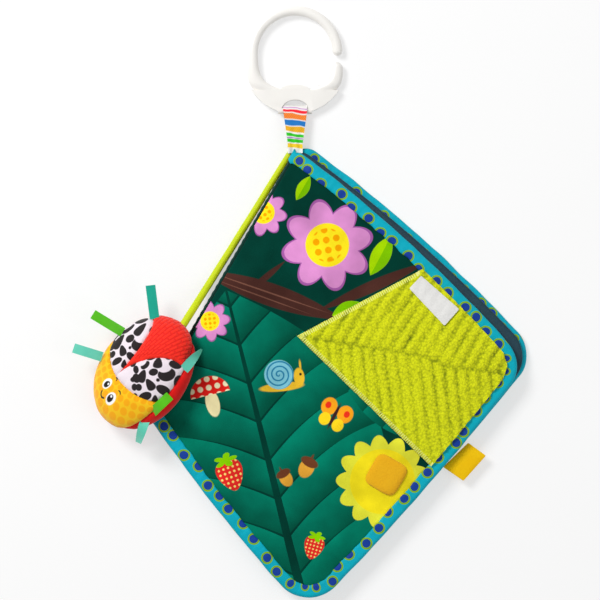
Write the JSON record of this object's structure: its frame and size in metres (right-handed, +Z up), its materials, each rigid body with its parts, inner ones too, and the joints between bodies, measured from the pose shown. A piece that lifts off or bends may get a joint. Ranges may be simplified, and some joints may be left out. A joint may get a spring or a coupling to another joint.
{
  "type": "crinkle cloth book",
  "caption": "Soft padded cloth book, diamond-set, with a stitched spine, crinkle page, chenille leaf flap, split hanging ring on a strap and a stuffed ladybug on a tether.",
  "frame": {"origin": "on the table, below the middle of the whole part's footprint without its tether", "axes": "+Z up, front cover uppermost; +Y towards the hanging ring, and the spine runs down to -X from the top corner"},
  "size_m": [0.267, 0.3438, 0.0325],
  "materials": {
    "printed_velour": "short-pile velour, printed with leaves and small pictures",
    "cotton_lining": "plain woven cotton",
    "polyester_padding": "thin polyester wadding",
    "crinkle_film": "thin polypropylene film",
    "page_satin": "polyester satin",
    "binding_jersey": "brushed jersey with printed dots",
    "seam_thread": "twisted polyester thread",
    "tab_tape": "grosgrain tape",
    "ribbed_chenille": "ribbed chenille plush",
    "flap_lining": "plain woven cotton",
    "label_satin": "woven satin label, bare",
    "fleece": "brushed fleece",
    "striped_ribbon": "printed grosgrain ribbon",
    "ring_plastic": "smooth moulded plastic",
    "tether_cord": "knitted cord",
    "yellow_plush": "short plush",
    "wing_print": "printed velour",
    "ripple_plush": "ripple-textured plush",
    "belly_plush": "short plush",
    "fibre_stuffing": "loose polyester fibre",
    "teal_satin": "satin ribbon",
    "mint_satin": "satin ribbon",
    "green_satin": "satin ribbon"
  },
  "bodies": {
    "back_cover": {"back_cover_outer_fabric": "printed_velour", "back_cover_padding": "polyester_padding", "back_cover_crinkle_film": "crinkle_film", "back_cover_lining": "cotton_lining", "back_cover_binding": "binding_jersey", "spine_seam": "seam_thread"},
    "inner_page": {"inner_page_front_satin": "page_satin", "inner_page_crinkle_film": "crinkle_film", "inner_page_back_satin": "page_satin", "page_tab": "tab_tape"},
    "front_cover": {"front_cover_outer_fabric": "printed_velour", "front_cover_padding": "polyester_padding", "front_cover_crinkle_film": "crinkle_film", "front_cover_lining": "cotton_lining", "front_cover_binding": "binding_jersey", "chenille_leaf_corner": "ribbed_chenille", "sewn_label": "label_satin", "fleece_patch": "fleece"},
    "leaf_flap": {"chenille_leaf_flap": "ribbed_chenille", "leaf_flap_lining": "flap_lining"},
    "strap": {"strap_loop": "striped_ribbon"},
    "ring": {"hanging_ring": "ring_plastic"},
    "tether_end": {"tether_end": "tether_cord"},
    "tether": {"tether": "tether_cord"},
    "ladybug": {"ladybug_head": "yellow_plush", "ladybug_wing_left": "wing_print", "ladybug_wing_right": "wing_print", "ladybug_back": "ripple_plush", "ladybug_belly": "belly_plush", "ladybug_stuffing": "fibre_stuffing", "ribbon_leg_left_rear": "teal_satin", "ribbon_leg_left_middle": "green_satin", "ribbon_leg_left_front": "mint_satin", "ribbon_leg_right_rear": "mint_satin", "ribbon_leg_right_middle": "green_satin", "ribbon_leg_right_front": "mint_satin"}
  },
  "joints": [
    {"name": "page_turn", "type": "hinge", "parent": "back_cover", "child": "inner_page", "pos_m": [-0.0019, 0.0886, 0.0065], "axis": [-0.5011, -0.8654, 0], "range_deg": [0, 180]},
    {"name": "cover_turn", "type": "hinge", "parent": "inner_page", "child": "front_cover", "pos_m": [-0.0019, 0.0886, 0.0065], "axis": [0.5011, 0.8654, 0], "range_deg": [-180, 0]},
    {"name": "leaf_flap_lift", "type": "hinge", "parent": "front_cover", "child": "leaf_flap", "pos_m": [0.06697, -0.04055, 0.0157], "axis": [-0.1456, 0.9893, 0], "range_deg": [0, 150]},
    {"name": "strap_lift", "type": "hinge", "parent": "back_cover", "child": "strap", "pos_m": [-0.0026, 0.0925, 0.0065], "axis": [1, 0, 0], "range_deg": [0, 75]},
    {"name": "ring_tilt", "type": "hinge", "parent": "strap", "child": "ring", "pos_m": [-0.0026, 0.11165, 0.0032], "axis": [1, 0, 0], "range_deg": [0, 90]},
    {"name": "tether_end_swing", "type": "hinge", "parent": "back_cover", "child": "tether_end", "pos_m": [-0.0032, 0.0903, 0.00315], "axis": [0, 0, 1], "range_deg": [-100, 0]},
    {"name": "tether_swing", "type": "hinge", "parent": "tether_end", "child": "tether", "pos_m": [-0.0032, 0.0903, 0.00315], "axis": [0.0604, -0.035, 0.9976], "range_deg": [-100, 0]},
    {"name": "ladybug_turn", "type": "hinge", "parent": "tether", "child": "ladybug", "pos_m": [-0.0675, -0.0137, 0.014], "axis": [0, 0, 1], "range_deg": [-60, 0]}
  ],
  "couplings": [
    {"joint": "tether_end_swing", "follows": "page_turn", "ratio": -0.55},
    {"joint": "tether_swing", "follows": "cover_turn", "ratio": 0.55}
  ]
}
